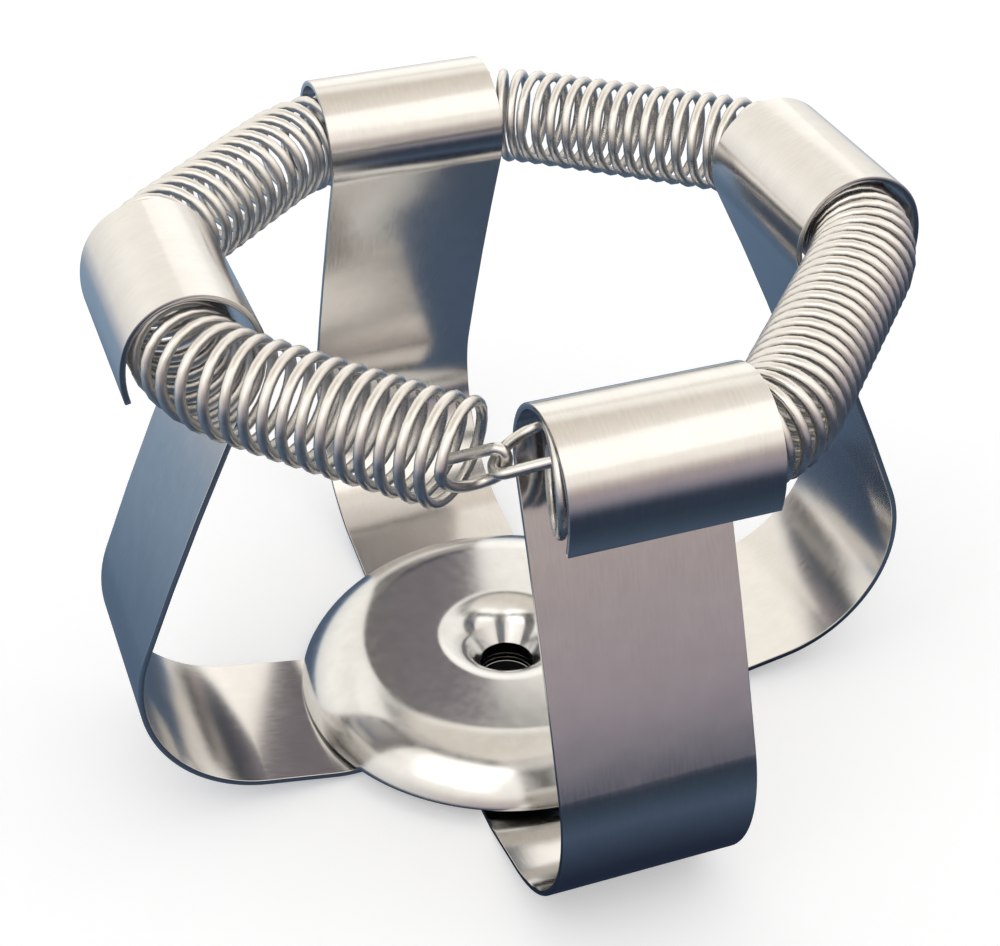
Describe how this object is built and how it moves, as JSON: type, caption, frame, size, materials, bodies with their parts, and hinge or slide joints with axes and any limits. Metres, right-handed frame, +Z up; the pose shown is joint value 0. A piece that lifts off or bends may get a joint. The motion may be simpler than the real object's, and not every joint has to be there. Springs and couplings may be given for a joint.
{
  "type": "shaker flask clamp",
  "caption": "Spring clamp of crossed stainless steel strips with rolled tops and a ring-shaped coil spring, screwed to a shaker platform to hold a conical flask.",
  "frame": {"origin": "middle of the clamp's footprint, on the surface that it stands on", "axes": "+Z up along the screw hole, +X along the upper strip, +Y along the lower strip, and the spring's end hooks are beside the arm at -Y, the front"},
  "size_m": [0.0822, 0.0806, 0.0598],
  "materials": {
    "strip_steel": "satin stainless spring steel",
    "disc_steel": "polished stainless steel",
    "spring_steel": "bright drawn stainless spring wire"
  },
  "bodies": {
    "root": {"lower_strip": "strip_steel", "upper_strip": "strip_steel", "base_disc": "disc_steel", "coil_spring": "spring_steel"}
  },
  "joints": []
}
